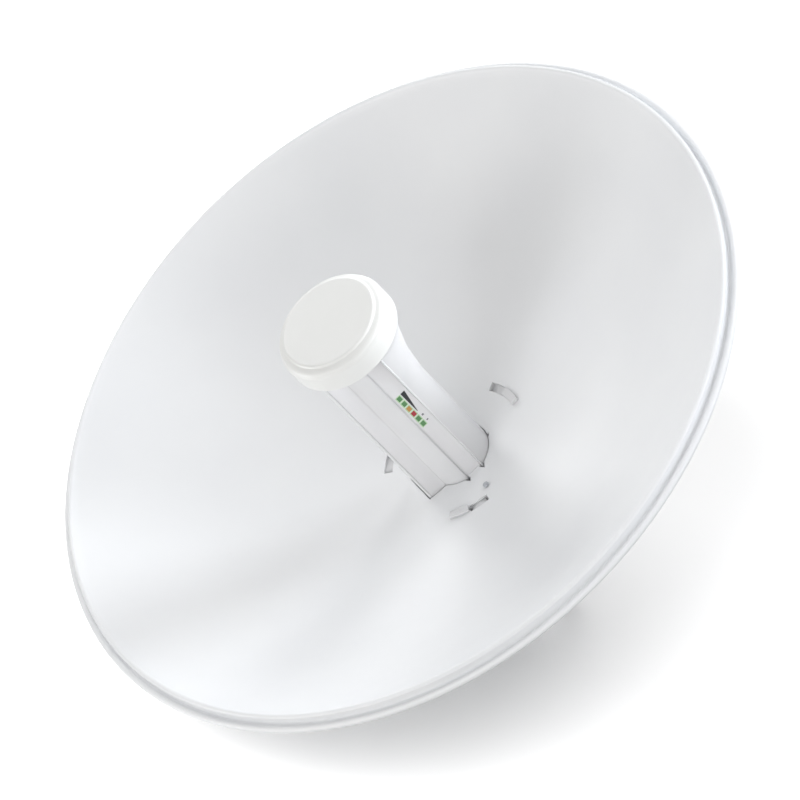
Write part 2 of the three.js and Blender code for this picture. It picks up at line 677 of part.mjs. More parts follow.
function pivotBolt() {
  const centre = [0, PIVOT.y, PIVOT.z];
  const shank = rod('x', -boltSeat - 9, boltSeat + 0.2, PIVOT.r, centre, 16);
  return shank.add(hexAlongX(HEX_R, boltSeat, boltSeat + 4, centre));
}
place('pivot_bolt', pivotBolt(), ZINC, clamp);

function pivotNut() {
  const centre = [0, PIVOT.y, PIVOT.z];
  const from = -boltSeat - WASHER.thick - GAP;
  const nut = hexAlongX(HEX_R, from - 5, from, centre);
  return nut.subtract(rod('x', from - 9, from + 4, PIVOT.r + GAP, centre, 16));
}
place('pivot_nut', pivotNut(), ZINC, clamp);
place('pivot_washer', washer(-boltSeat - WASHER.thick, [0, PIVOT.y, PIVOT.z]), ZINC, clamp);

function lockBolt() {
  const centre = [0, PIVOT.y, lockZ];
  const shank = rod('x', -boltSeat - 13, boltSeat + 0.2, PIVOT.r, centre, 16);
  const head = rod('x', boltSeat, boltSeat + 3.4, 7, centre, 20, 3.6);
  return shank.add(head);
}
place('lock_bolt', lockBolt(), ZINC, clamp);
place('lock_washer', washer(-boltSeat - WASHER.thick, [0, PIVOT.y, lockZ]), ZINC, clamp);

function wingNut() {
  const from = -boltSeat - WASHER.thick - GAP;
  const centre = [0, PIVOT.y, lockZ];
  const boss = rod('x', from - 7, from, 4.2, centre, 18, 5.6);
  const wings = [-1, 1].map((side) => {
    const outline = polygon([
      [from - 1, side * 3], [from - 3, side * 9], [from - 8, side * 12.5],
      [from - 13, side * 12], [from - 12, side * 8.5], [from - 6, side * 3],
    ]);
    return alongZ(outline, -1.3, 1.3).translate([0, PIVOT.y, lockZ]);
  });
  const body = join(boss, ...wings);
  return body.subtract(rod('x', from - 20, from + 3, PIVOT.r + GAP, centre, 16));
}
place('wing_nut', wingNut(), ZINC, clamp);

export default antenna;
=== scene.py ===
"""The looks of a solid dish antenna: fine meshes, materials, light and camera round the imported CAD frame."""
import json
import math
from bisect import bisect_right

import bpy
import bmesh
from mathutils import Matrix, Vector

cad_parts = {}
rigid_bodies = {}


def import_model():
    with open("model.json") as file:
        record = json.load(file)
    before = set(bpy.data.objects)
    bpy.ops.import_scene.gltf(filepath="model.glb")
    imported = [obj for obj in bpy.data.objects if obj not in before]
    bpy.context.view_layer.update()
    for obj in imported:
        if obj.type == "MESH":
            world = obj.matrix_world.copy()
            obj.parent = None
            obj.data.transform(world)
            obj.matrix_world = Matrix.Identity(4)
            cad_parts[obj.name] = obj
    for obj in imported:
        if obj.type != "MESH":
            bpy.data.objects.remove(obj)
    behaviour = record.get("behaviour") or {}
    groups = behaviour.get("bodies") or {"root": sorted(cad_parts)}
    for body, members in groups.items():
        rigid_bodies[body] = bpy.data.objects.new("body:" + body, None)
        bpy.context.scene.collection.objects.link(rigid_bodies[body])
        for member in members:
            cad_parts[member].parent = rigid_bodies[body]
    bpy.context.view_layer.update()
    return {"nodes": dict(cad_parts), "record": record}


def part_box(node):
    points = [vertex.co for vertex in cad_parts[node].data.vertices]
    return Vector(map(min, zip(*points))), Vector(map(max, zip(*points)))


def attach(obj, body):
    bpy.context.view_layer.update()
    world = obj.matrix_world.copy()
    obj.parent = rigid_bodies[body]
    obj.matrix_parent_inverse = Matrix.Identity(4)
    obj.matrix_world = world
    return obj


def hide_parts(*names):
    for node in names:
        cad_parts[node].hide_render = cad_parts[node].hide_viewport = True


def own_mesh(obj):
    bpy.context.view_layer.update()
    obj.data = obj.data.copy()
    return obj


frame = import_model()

MM = 0.001
scene = bpy.context.scene
scene.view_settings.view_transform = "Standard"

# ------------------------------------------------------------------ sizes, in millimetres, from the frame
cap_low, cap_high = (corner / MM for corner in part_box("feed_cap"))
tube_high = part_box("feed_body")[1] / MM
panel_low, panel_high = (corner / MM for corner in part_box("led_label"))
side_low, side_high = (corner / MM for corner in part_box("side_label"))

# The bowl, a paraboloid: its deepest point, focal length, radius inside the rim and sheet thickness.
VERTEX_Y = -102.0
FOCAL = 134.5
APERTURE_R = 202.0
SHEET = 1.2
BOWL_FROM_R = 12
BOWL_STEPS = 60
DISH_SEGMENTS = 288

# The openings at the bowl's middle. Slots and hooks are given by angles in degrees and (inner, outer) radii.
THROUGH_Y = (-130, -80)
SLOT_STARTS = (98, 218, 338)
SLOT_WIDE, SLOT_WIDE_R = 16, (40, 45)
SLOT_NECK, SLOT_NECK_R = 13, (41.1, 43.9)
POCKETS = ((13.6, 15.4, 40.3, 44.7), (-1.6, 1.2, 41.3, 43.9))
POCKET_Y = (-106, -98.6)
NOTCHES = ((19.7, -5.2, 2.4), (19.7, 5.5, 2.4), (5.6, 19.3, 1.3))
NOTCH_Y = (-130, -90)
SCREW_X, SCREW_Z, SCREW_HOLE_R = 34.5, -0.6, 1.4
KEYHOLE_GAP = 0.55

# The feed: its cap, its tube with a flat-sided rib, and the flat panel with the lights along its side.
FACE_Y = cap_low.y
CAP_R = cap_high.x
CAP_DEPTH = cap_high.y - cap_low.y
TAIL_Y = tube_high.y
TUBE_R = 19.2
TUBE_WALL = 1.8
TUBE_FROM = 17
WING_X = side_low.x - 0.3
WING_Z = side_low.z - 0.6
PANEL_X = panel_low.x - 0.3
PANEL_Z = (-4.6, 5.0)
PANEL_FROM = 31.0
RIB_TOP_Z = -16.5
SEAT_R = 30.5
BEAD = 0.5
CAP_SEGMENTS = 160
PLUG_R = 0.5
CAP_WALL = 2

# The lights on the panel: their number, the first one behind the cap's face, their spacing and half sizes.
LAMPS = 6
LAMP_FIRST = 60.5
LAMP_PITCH = 5.0
LAMP_Z = -1.6
WINDOW_HALF = 1.2
LAMP_HALF = 1.75
FRAME_HALF = 2.3

# Widths of the rounded edges on the copies of the CAD nodes.
LARGE_EDGE = 0.35
SMALL_EDGE = 0.18
FINE_EDGE = 0.1
SPRING_EDGE = 0.05

# The view: how far the beam points away from the camera, how far the frame is rolled in the picture, the
# distance in metres, the lens and where the rim's centre lies from the camera.
VIEW_OFF_BEAM = math.radians(46.5)
VIEW_ROLL = math.radians(44.5)
VIEW_DISTANCE = 3.0
LENS_MM = 251.595
SENSOR_MM = 36.0
CLIP_END = 50
RIM_CENTRE_IN_VIEW = Vector((-0.0067, 0.0093, -VIEW_DISTANCE))


# ------------------------------------------------------------------ camera
def make_camera():
    """Sets the camera and returns the turn from its axes to the frame's."""
    up_in_view = Vector((math.cos(VIEW_ROLL), math.sin(VIEW_ROLL), 0))
    beam_in_view = Vector((
        -math.sin(VIEW_OFF_BEAM) * math.sin(VIEW_ROLL),
        math.sin(VIEW_OFF_BEAM) * math.cos(VIEW_ROLL),
        math.cos(VIEW_OFF_BEAM),
    ))
    y_in_view = -beam_in_view
    x_in_view = y_in_view.cross(up_in_view)
    turn = Matrix((x_in_view, y_in_view, up_in_view))
    rim_centre = Vector((0, bowl_y(APERTURE_R) * MM, 0))
    data = bpy.data.cameras.new("camera")
    data.sensor_width = SENSOR_MM
    data.lens = LENS_MM
    data.clip_end = CLIP_END
    camera = bpy.data.objects.new("camera", data)
    camera.matrix_world = Matrix.Translation(rim_centre - turn @ RIM_CENTRE_IN_VIEW) @ turn.to_4x4()
    scene.collection.objects.link(camera)
    scene.camera = camera
    return turn


def bowl_y(r):
    """The front face of the sheet, by its distance from the axis."""
    return VERTEX_Y - r * r / (4 * FOCAL)


view_turn = make_camera()


# ------------------------------------------------------------------ mesh tools
def new_object(name, mesh):
    piece = bpy.data.objects.new(name, mesh)
    scene.collection.objects.link(piece)
    return piece


def mesh_from(name, points, faces):
    """points are in millimetres."""
    mesh = bpy.data.meshes.new(name)
    mesh.from_pydata([Vector(p) * MM for p in points], [], faces)
    mesh.validate()
    work = bmesh.new()
    work.from_mesh(mesh)
    bmesh.ops.remove_doubles(work, verts=work.verts, dist=1e-7)
    bmesh.ops.recalc_face_normals(work, faces=work.faces)
    work.to_mesh(mesh)
    work.free()
    return new_object(name, mesh)


def smooth_by_angle(piece, degrees):
    piece.data.shade_smooth()
    piece.data.set_sharp_from_angle(angle=math.radians(degrees))


def arc(centre, radius, start, end, steps):
    """Points of an arc, angles in degrees."""
    angles = [math.radians(start + (end - start) * i / steps) for i in range(steps + 1)]
    return [(centre[0] + radius * math.cos(a), centre[1] + radius * math.sin(a)) for a in angles]


def turned(name, profile, segments):
    """A closed profile of (radius, y) points turned about the y axis."""
    count = len(profile)
    points, faces = [], []
    for i in range(segments):
        angle = 2 * math.pi * i / segments
        c, s = math.cos(angle), math.sin(angle)
        points += [(r * s, y, r * c) for r, y in profile]
    for i in range(segments):
        j = (i + 1) % segments
        for k in range(count):
            m = (k + 1) % count
            faces.append((i * count + k, i * count + m, j * count + m, j * count + k))
    return mesh_from(name, points, faces)


def prism(name, outline, axis, start, end):
    """An outline swept along an axis: (y, z) points along x, or (x, z) points along y."""
    def at(u, v, a):
        return (a, u, v) if axis == "x" else (u, a, v)
    count = len(outline)
    points = [at(u, v, start) for u, v in outline] + [at(u, v, end) for u, v in outline]
    faces = [(i, (i + 1) % count, count + (i + 1) % count, count + i) for i in range(count)]
    faces += [tuple(range(count)), tuple(range(2 * count - 1, count - 1, -1))]
    return mesh_from(name, points, faces)


def apply_modifiers(piece):
    depsgraph = bpy.context.evaluated_depsgraph_get()
    mesh = bpy.data.meshes.new_from_object(piece.evaluated_get(depsgraph))
    piece.modifiers.clear()
    old = piece.data
    piece.data = mesh
    bpy.data.meshes.remove(old)


def boolean(piece, tools, operation="DIFFERENCE"):
    for tool in tools:
        cut = piece.modifiers.new("cut", "BOOLEAN")
        cut.operation = operation
        cut.solver = "EXACT"
        cut.object = tool
    apply_modifiers(piece)
    for tool in tools:
        bpy.data.objects.remove(tool)


def bevelled(piece, width, segments, angle):
    bevel = piece.modifiers.new("bevel", "BEVEL")
    bevel.width = width * MM
    bevel.segments = segments
    bevel.limit_method = "ANGLE"
    bevel.angle_limit = math.radians(angle)
    bevel.use_clamp_overlap = True
    apply_modifiers(piece)


def rounded_rectangle(u, v, r, steps=5):
    return (
        arc((u[1] - r, v[0] + r), r, -90, 0, steps) + arc((u[1] - r, v[1] - r), r, 0, 90, steps)
        + arc((u[0] + r, v[1] - r), r, 90, 180, steps) + arc((u[0] + r, v[0] + r), r, 180, 270, steps)
    )


def ease(t):
    """From 0 to 1, level at both ends."""
    t = min(max(t, 0.0), 1.0)
    return t * t * (3 - 2 * t)


def curve_through(knots):
    """A smooth function through (place, value) knots, by Catmull-Rom slopes."""
    xs = [k[0] for k in knots]
    ys = [k[1] for k in knots]
    slopes = [0.0] * len(knots)
    for i in range(1, len(knots) - 1):
        slopes[i] = (ys[i + 1] - ys[i - 1]) / (xs[i + 1] - xs[i - 1])
    slopes[0] = (ys[1] - ys[0]) / (xs[1] - xs[0])

    def value(x):
        if x <= xs[0]:
            return ys[0]
        if x >= xs[-1]:
            return ys[-1]
        i = bisect_right(xs, x) - 1
        h = xs[i + 1] - xs[i]
        t = (x - xs[i]) / h
        return (
            (2 * t**3 - 3 * t**2 + 1) * ys[i] + (t**3 - 2 * t**2 + t) * h * slopes[i]
            + (3 * t**2 - 2 * t**3) * ys[i + 1] + (t**3 - t**2) * h * slopes[i + 1]
        )
    return value


# ------------------------------------------------------------------ materials
class Shader:
    """A principled material with object coordinates, noise-driven colour, roughness and bump."""

    def __init__(self, name, color, roughness, metallic=0.0, **sockets):
        self.material = bpy.data.materials.new(name)
        self.material.use_nodes = True
        self.tree = self.material.node_tree
        self.bsdf = self.tree.nodes["Principled BSDF"]
        self.bsdf.inputs["Base Color"].default_value = (*color, 1)
        self.bsdf.inputs["Roughness"].default_value = roughness
        self.bsdf.inputs["Metallic"].default_value = metallic
        for socket, value in sockets.items():
            self.bsdf.inputs[socket.replace("_", " ")].default_value = value
        self.color = color
        self.coordinates = self.tree.nodes.new("ShaderNodeTexCoord").outputs["Object"]
        self.height = None

    def link(self, source, target):
        self.tree.links.new(source, target)

    def noise(self, size_mm, detail, stretch=None):
        node = self.tree.nodes.new("ShaderNodeTexNoise")
        node.inputs["Scale"].default_value = 1000 / size_mm
        node.inputs["Detail"].default_value = detail
        source = self.coordinates
        if stretch:
            mapping = self.tree.nodes.new("ShaderNodeMapping")
            mapping.inputs["Scale"].default_value = stretch
            self.link(source, mapping.inputs["Vector"])
            source = mapping.outputs["Vector"]
        self.link(source, node.inputs["Vector"])
        return node.outputs["Fac"]

    def spread(self, source, low, high):
        """The middle of a noise, stretched from low to high."""
        node = self.tree.nodes.new("ShaderNodeMapRange")
        node.inputs["From Min"].default_value = 0.3
        node.inputs["From Max"].default_value = 0.7
        node.inputs["To Min"].default_value = low
        node.inputs["To Max"].default_value = high
        self.link(source, node.inputs["Value"])
        return node.outputs["Result"]

    def tint(self, source, other):
        """The colour drifts between the base colour and another with source."""
        node = self.tree.nodes.new("ShaderNodeMix")
        node.data_type = "RGBA"
        node.inputs["A"].default_value = (*self.color, 1)
        node.inputs["B"].default_value = (*other, 1)
        self.link(source, node.inputs["Factor"])
        self.link(node.outputs["Result"], self.bsdf.inputs["Base Color"])
        return self

    def rough(self, source):
        self.link(source, self.bsdf.inputs["Roughness"])
        return self

    def bump(self, source, depth_mm):
        node = self.tree.nodes.new("ShaderNodeBump")
        node.inputs["Distance"].default_value = depth_mm * MM
        self.link(source, node.inputs["Height"])
        if self.height is not None:
            self.link(self.height, node.inputs["Normal"])
        self.height = node.outputs["Normal"]
        self.link(self.height, self.bsdf.inputs["Normal"])
        return self


def powder_coat():
    s = Shader("dish_paint", (0.86, 0.87, 0.88), 0.45, Coat_Weight=0.12, Coat_Roughness=0.35)
    s.tint(s.spread(s.noise(60, 4), 0.0, 1.0), (0.835, 0.845, 0.86))
    s.rough(s.spread(s.noise(9, 4), 0.4, 0.5))
    s.bump(s.noise(2.2, 2), 0.012)
    s.bump(s.noise(0.5, 2), 0.004)
    return s.material


def moulded(name, color, other, roughness, grain=0.5, **sockets):
    s = Shader(name, color, roughness, **sockets)
    s.tint(s.spread(s.noise(25, 3), 0.0, 1.0), other)
    s.rough(s.spread(s.noise(5, 3), roughness - 0.04, roughness + 0.05))
    s.bump(s.noise(grain, 3), 0.006)
    return s.material


def label_film():
    s = Shader("label", (0.77, 0.77, 0.785), 0.42, Coat_Weight=0.2, Coat_Roughness=0.3)
    s.tint(s.spread(s.noise(14, 3), 0.0, 1.0), (0.785, 0.785, 0.795))
    s.rough(s.spread(s.noise(0.8, 2), 0.38, 0.48))
    s.bump(s.noise(0.35, 2), 0.002)
    return s.material


def print_ink(name, color):
    s = Shader(name, color, 0.4, Coat_Weight=0.3, Coat_Roughness=0.15)
    s.tint(s.spread(s.noise(0.4, 2), 0.0, 0.5), tuple(0.8 * c for c in color))
    s.bump(s.noise(0.3, 2), 0.002)
    return s.material


def plated(name, color, other, roughness, spangle=6.0):
    s = Shader(name, color, roughness, 1.0)
    s.tint(s.spread(s.noise(spangle, 4), 0.0, 1.0), other)
    s.rough(s.spread(s.noise(2.5, 4), roughness - 0.08, roughness + 0.1))
    s.bump(s.noise(0.6, 4), 0.006)
    return s.material


def brushed(name, color, other, roughness, along):
    stretch = {"x": (0.04, 1, 1), "y": (1, 0.04, 1), "z": (1, 1, 0.04)}[along]
    s = Shader(name, color, roughness, 1.0)
    lines = s.noise(0.35, 3, stretch)
    s.tint(s.spread(lines, 0.0, 1.0), other)
    s.rough(s.spread(lines, roughness - 0.07, roughness + 0.1))
    s.bump(lines, 0.008)
    return s.material


def rubber():
    s = Shader("rubber", (0.022, 0.022, 0.024), 0.7)
    s.tint(s.spread(s.noise(3, 4), 0.0, 1.0), (0.04, 0.04, 0.042))
    s.bump(s.noise(0.4, 4), 0.01)
    return s.material


def circuit_board():
    s = Shader("board", (0.02, 0.11, 0.05), 0.4, Coat_Weight=0.5, Coat_Roughness=0.15)
    bricks = s.tree.nodes.new("ShaderNodeTexBrick")
    bricks.inputs["Scale"].default_value = 180
    bricks.inputs["Mortar Size"].default_value = 0.06
    s.link(s.coordinates, bricks.inputs["Vector"])
    s.tint(bricks.outputs["Fac"], (0.06, 0.24, 0.1))
    s.bump(bricks.outputs["Fac"], 0.03)
    return s.material


def clear_plastic():
    s = Shader("clear_plastic", (0.85, 0.93, 0.88), 0.12, Transmission_Weight=0.7, IOR=1.49)
    s.tint(s.spread(s.noise(4, 2), 0.0, 1.0), (0.8, 0.9, 0.84))
    s.bump(s.noise(1.5, 2), 0.004)
    return s.material


MATERIALS = {
    "dish_paint": powder_coat(),
    "white_plastic": moulded("white_plastic", (0.73, 0.73, 0.74), (0.71, 0.715, 0.725), 0.38),
    "cap_plastic": moulded("cap_plastic", (0.8, 0.805, 0.79), (0.785, 0.79, 0.775), 0.36),
    "grey_plastic": moulded("grey_plastic", (0.36, 0.37, 0.38), (0.32, 0.33, 0.34), 0.45, 0.7),
    "label": label_film(),
    "clear_plastic": clear_plastic(),
    "board": circuit_board(),
    "rubber": rubber(),
    "zinc": plated("zinc", (0.62, 0.64, 0.66), (0.52, 0.54, 0.57), 0.34),
    "stainless": brushed("stainless", (0.68, 0.68, 0.69), (0.58, 0.58, 0.6), 0.26, "z"),
    "aluminium": brushed("aluminium", (0.72, 0.73, 0.74), (0.64, 0.65, 0.67), 0.34, "z"),
    "brass": plated("brass", (0.72, 0.5, 0.18), (0.6, 0.4, 0.13), 0.25, 3.0),
}
INKS = {
    "green": print_ink("ink_green", (0.1, 0.27, 0.1)),
    "pale_green": print_ink("ink_pale_green", (0.52, 0.72, 0.46)),
    "orange": print_ink("ink_orange", (0.56, 0.3, 0.08)),
    "red": print_ink("ink_red", (0.45, 0.03, 0.05)),
    "dark": print_ink("ink_dark", (0.02, 0.022, 0.025)),
    "grey": print_ink("ink_grey", (0.22, 0.23, 0.25)),
}


def dress(piece, slot, material=None):
    piece.data.materials.clear()
    piece.data.materials.append(material or MATERIALS[slot])
    return piece


def stands_for(piece, node, body, slot):
    dress(piece, slot)
    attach(piece, body)
    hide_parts(node)
    return piece


slot_of = {s["node"]: s["material_slot"] for s in frame["record"]["subparts"]}
body_of = {n: b for b, nodes in frame["record"]["behaviour"]["bodies"].items() for n in nodes}


def finer(node, width, segments=2):
    """A copy of a CAD node with its edges rounded."""
    source = frame["nodes"][node]
    mesh = source.data.copy()
    work = bmesh.new()
    work.from_mesh(mesh)
    bmesh.ops.remove_doubles(work, verts=work.verts, dist=1e-6)
    bmesh.ops.dissolve_limit(
        work, angle_limit=math.radians(1), verts=work.verts, edges=work.edges, delimit={"NORMAL"},
    )
    work.to_mesh(mesh)
    work.free()
    piece = new_object(node + "_piece", mesh)
    bevelled(piece, width, segments, 28)
    smooth_by_angle(piece, 40)
    return stands_for(piece, node, body_of[node], slot_of[node])


# ------------------------------------------------------------------ reflector
def rim_profile():
    """The rolled rim, from the inner lip round to the back of the sheet, relative to the rim's plane."""
    lip = arc((203.4, 0.5), 1.6, -150, -10, 10)
    valley = [(204.6, 1.4), (204.2, 3.0), (203.95, 4.6), (204.1, 5.5), (204.8, 5.9), (205.6, 5.8)]
    hem = arc((208.1, 5.6), 1.9, -172, 0, 14) + arc((208.1, 5.9), 1.9, 0, 100, 8)
    inside = [(206.6, 7.8), (204.6, 7.3), (203.2, 6.6), (202.8, 4.6), (202.7, 3.2)]
    return lip + valley + hem + inside


def bayonet_cutters():
    """Each slot is wide where a hook goes in, with a narrow neck that the hook turns into."""
    cutters = []
    near, far = SLOT_WIDE_R
    neck_near, neck_far = SLOT_NECK_R
    for start in SLOT_STARTS:
        end = start + SLOT_WIDE
        wide = arc((0, 0), far, start, end, 10) + arc((0, 0), near, end, start, 10)
        neck = (
            arc((0, 0), neck_far, start - SLOT_NECK, start + 1, 10)
            + arc((0, 0), neck_near, start + 1, start - SLOT_NECK, 10)
        )
        cutters.append(prism("slot", wide, "y", *THROUGH_Y))
        cutters.append(prism("neck", neck, "y", *THROUGH_Y))
    return cutters


def keyhole_notches():
    """Small reliefs at the corners of the feed's opening."""
    return [prism("notch", arc((x, z), size, 0, 240, 2), "y", *NOTCH_Y) for x, z, size in NOTCHES]


def hook_pockets():
    """Gaps in the housing's face beside each hook: at the far end of its slot and at its stem."""
    pockets = []
    for start in SLOT_STARTS:
        for low, high, near, far in POCKETS:
            outline = arc((0, 0), far, start + low, start + high, 3)
            outline += arc((0, 0), near, start + high, start + low, 3)
            pockets.append(prism("pocket", outline, "y", *POCKET_Y))
    return pockets


def make_housing():
    housing = finer("rear_housing", LARGE_EDGE)
    boolean(housing, hook_pockets() + keyhole_notches())
    smooth_by_angle(housing, 40)


def make_dish():
    plane = bowl_y(APERTURE_R)
    reach = APERTURE_R - 0.6 - BOWL_FROM_R
    radii = [BOWL_FROM_R + reach * i / BOWL_STEPS for i in range(BOWL_STEPS + 1)]
    front = [(r, bowl_y(r)) for r in radii]
    rim = [(r, plane + y) for r, y in rim_profile()]
    back = [(r, bowl_y(r) + SHEET * math.hypot(1, r / (2 * FOCAL))) for r in reversed(radii)]
    dish = turned("dish", front + rim + back, DISH_SEGMENTS)
    keyhole = prism("keyhole", feed_outline(KEYHOLE_GAP), "y", *THROUGH_Y)
    tab = [(PANEL_X + 0.45, -4.4), (22, -2.6), (22, 3), (PANEL_X + 0.45, 4.8)]
    boolean(keyhole, [prism("tab", tab, "y", -140, -70)])
    screws = [
        prism("screw", arc((x, SCREW_Z), SCREW_HOLE_R, 0, 345, 23), "y", *THROUGH_Y)
        for x in (-SCREW_X, SCREW_X)
    ]
    boolean(dish, [keyhole, *bayonet_cutters(), *screws, *keyhole_notches()])
    smooth_bowl(dish)
    stands_for(dish, "reflector_dish", "reflector", "dish_paint")


def smooth_bowl(dish):
    """Exact normals of the paraboloid on the sheet's two faces, so that the cuts don't dent its shading."""
    mesh = dish.data
    smooth_by_angle(dish, 35)
    corner = [Vector(n.vector) for n in mesh.corner_normals]
    limit = (APERTURE_R - 1.5) * MM
    for face in mesh.polygons:
        for loop in face.loop_indices:
            point = mesh.vertices[mesh.loops[loop].vertex_index].co
            r = math.hypot(point.x, point.z)
            if r > limit:
                continue
            exact = Vector((point.x, 2 * FOCAL * MM, point.z)).normalized()
            along = face.normal.dot(exact)
            if abs(along) > 0.9:
                corner[loop] = exact if along > 0 else -exact
    mesh.normals_split_custom_set(corner)


# ------------------------------------------------------------------ feed
def feed_outline(offset):
    """The tube with its flat-sided rib, as (x, z) points, grown by offset."""
    r, x, z = TUBE_R + offset, WING_X + offset, WING_Z - offset
    meet = math.degrees(math.acos(x / r))
    return [(x, z)] + arc((0, 0), r, -meet, 180 + meet, 40) + [(-x, z)]


# The tube's radius on its wide side, by the distance behind the cap's face.
flare_radius = curve_through([
    (14, 32.8), (17, 32.8), (22, 29.9), (29, 27), (40, 24), (49, 21.7), (60, 20.3),
    (71, TUBE_R), (90, TUBE_R),
])


def station_outline(b):
    """The feed's outline at a distance behind its face: rib, panel side, wide side and back to the rib."""
    flare = flare_radius(b)
    low, high = PANEL_Z
    scoop = ease((PANEL_FROM - b) / (PANEL_FROM - TUBE_FROM))
    swell = TUBE_R + (flare - TUBE_R) * scoop
    flat = PANEL_X + (swell - 0.7 - PANEL_X) * scoop
    shelf = 0.45 * ease((b - 17.4) / 1.5)
    x, z = WING_X, WING_Z
    meet = -math.sqrt(TUBE_R**2 - x**2)
    points = arc((x - 1.2, z + 1.2), 1.2, -90, 0, 6)
    points += [(x, z + 1.3), (x - shelf, z + 1.42), (x - shelf, RIB_TOP_Z - 0.15), (x, RIB_TOP_Z)]
    for i in range(12):
        t = i / 11
        r = TUBE_R + (swell - TUBE_R) * ease((t - 0.4) / 0.6)
        v = meet + (low - 1 - meet) * t
        points.append((math.sqrt(r * r - v * v), v))
    lip = math.sqrt(swell**2 - low**2)
    ridge = min(0.8, 0.5 * (lip - flat))
    points += [(lip - 0.1, low - 0.95), (lip - 0.15, low - 0.75)]
    points += [(lip - ridge, low - 0.02), (flat, low + 0.03)]
    shoulder = math.sqrt(flare**2 - high**2)
    points += [(flat, high - 0.03), (shoulder - 0.1, high)]
    points += [(shoulder + BEAD, high + 0.3), (shoulder + BEAD, high + 0.8)]
    first = math.degrees(math.asin((high + 1.2) / flare))
    left_start, left_end = 168, 180 + math.degrees(math.acos(x / TUBE_R))
    points += arc((0, 0), flare, first, left_start, 48)
    for i in range(1, 17):
        t = i / 16
        angle = math.radians(left_start + (left_end - left_start) * t)
        r = flare + (TUBE_R - flare) * ease(t / 0.6)
        points.append((r * math.cos(angle), r * math.sin(angle)))
    points += [(-x, RIB_TOP_Z), (-x, z + 1.3)] + arc((-x + 1.2, z + 1.2), 1.2, 180, 270, 6)
    return points


def make_feed_tube():
    length = TAIL_Y - FACE_Y
    stations = [TUBE_FROM, 17.4, 17.9, 18.4, 18.9, 19.4]
    stations += [20 + 0.75 * i for i in range(24)]
    stations += [38 + 1.5 * i for i in range(26)]
    stations += [80, 95, 110, 125, 140, length]
    rings = [[(u, FACE_Y + b, v) for u, v in station_outline(b)] for b in stations]
    count = len(rings[0])
    points = [p for ring in rings for p in ring]
    faces = []
    for s in range(len(rings) - 1):
        for i in range(count):
            j = (i + 1) % count
            faces.append((s * count + i, s * count + j, (s + 1) * count + j, (s + 1) * count + i))
    faces.append(tuple(range(count)))
    last = (len(rings) - 1) * count
    faces.append(tuple(last + i for i in reversed(range(count))))
    tube = mesh_from("feed_tube", points, faces)
    core = prism("core", feed_outline(-TUBE_WALL), "y", FACE_Y + 10, TAIL_Y + 5)
    keep = prism("keep", rounded_rectangle((-30, PANEL_X - TUBE_WALL), (-40, 40), 0.5), "y", -300, 0)
    boolean(core, [keep], "INTERSECT")
    seat = prism("seat", arc((0, 0), SEAT_R, 0, 357.5, 143), "y", FACE_Y + 14.6, FACE_Y + 17.2)
    boolean(tube, [seat], "UNION")
    notch = prism("notch", rounded_rectangle((-6, 6), (-32, WING_Z + 1.2), 0.4), "y", -93.2, -87.8)
    cutters = [core, notch]
    for i in range(LAMPS):
        y = FACE_Y + LAMP_FIRST + LAMP_PITCH * i
        left, right, low, high = y - WINDOW_HALF, y + WINDOW_HALF, LAMP_Z - WINDOW_HALF, LAMP_Z + WINDOW_HALF
        window = [(left, low), (right, low), (right, high), (left, high)]
        cutters.append(prism("window", window, "x", 10, 20))
    boolean(tube, cutters)
    smooth_by_angle(tube, 32)
    stands_for(tube, "feed_body", "feed", "white_plastic")


def make_cap():
    """A cap with a flat face, a fine step round it and a shoulder that drops to the side."""
    depth, r = CAP_DEPTH, CAP_R
    outer = [(0.4, 0), (10, 0), (20, 0), (26.8, 0)]
    outer += arc((26.9, 1.5), 1.5, -90, -20, 6) + [(28.5, 1.35), (28.9, 1.6), (29.5, 1.75)]
    outer += arc((28.9, 5.25), 3.5, -75, -35, 6) + [(31.9, 3.6), (32.05, 4.0)]
    outer += arc((r - 2, 6), 2, -50, 0, 6) + [(r, 8.5), (r, depth - 1.5)]
    outer += arc((r - 0.5, depth - 0.5), 0.5, 0, 90, 5)
    inner = [(r - 2.2, depth), (r - 2.2, 6.5), (27, CAP_WALL), (12, CAP_WALL), (0.4, CAP_WALL)]
    profile = [(u, FACE_Y + v) for u, v in outer + inner]
    cap = turned("cap", profile, CAP_SEGMENTS)
    top, bottom = FACE_Y, FACE_Y + CAP_WALL
    plug_profile = [(0.001, top), (PLUG_R, top), (PLUG_R, bottom), (0.001, bottom)]
    plug = turned("plug", plug_profile, CAP_SEGMENTS)
    boolean(cap, [plug], "UNION")
    smooth_by_angle(cap, 30)
    stands_for(cap, "feed_cap", "feed", "cap_plastic")


# ------------------------------------------------------------------ indicator strip and side label
def sheet_on_panel(name, y, z, base, thick, corner, material):
    """A thin rounded sheet with its back at x = base."""
    outline = rounded_rectangle(y, z, corner, 4)
    piece = prism(name, outline, "x", base, base + thick)
    bevelled(piece, min(thick, 0.12) * 0.4, 1, 60)
    smooth_by_angle(piece, 40)
    dress(piece, "label", material)
    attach(piece, "feed")
    return piece


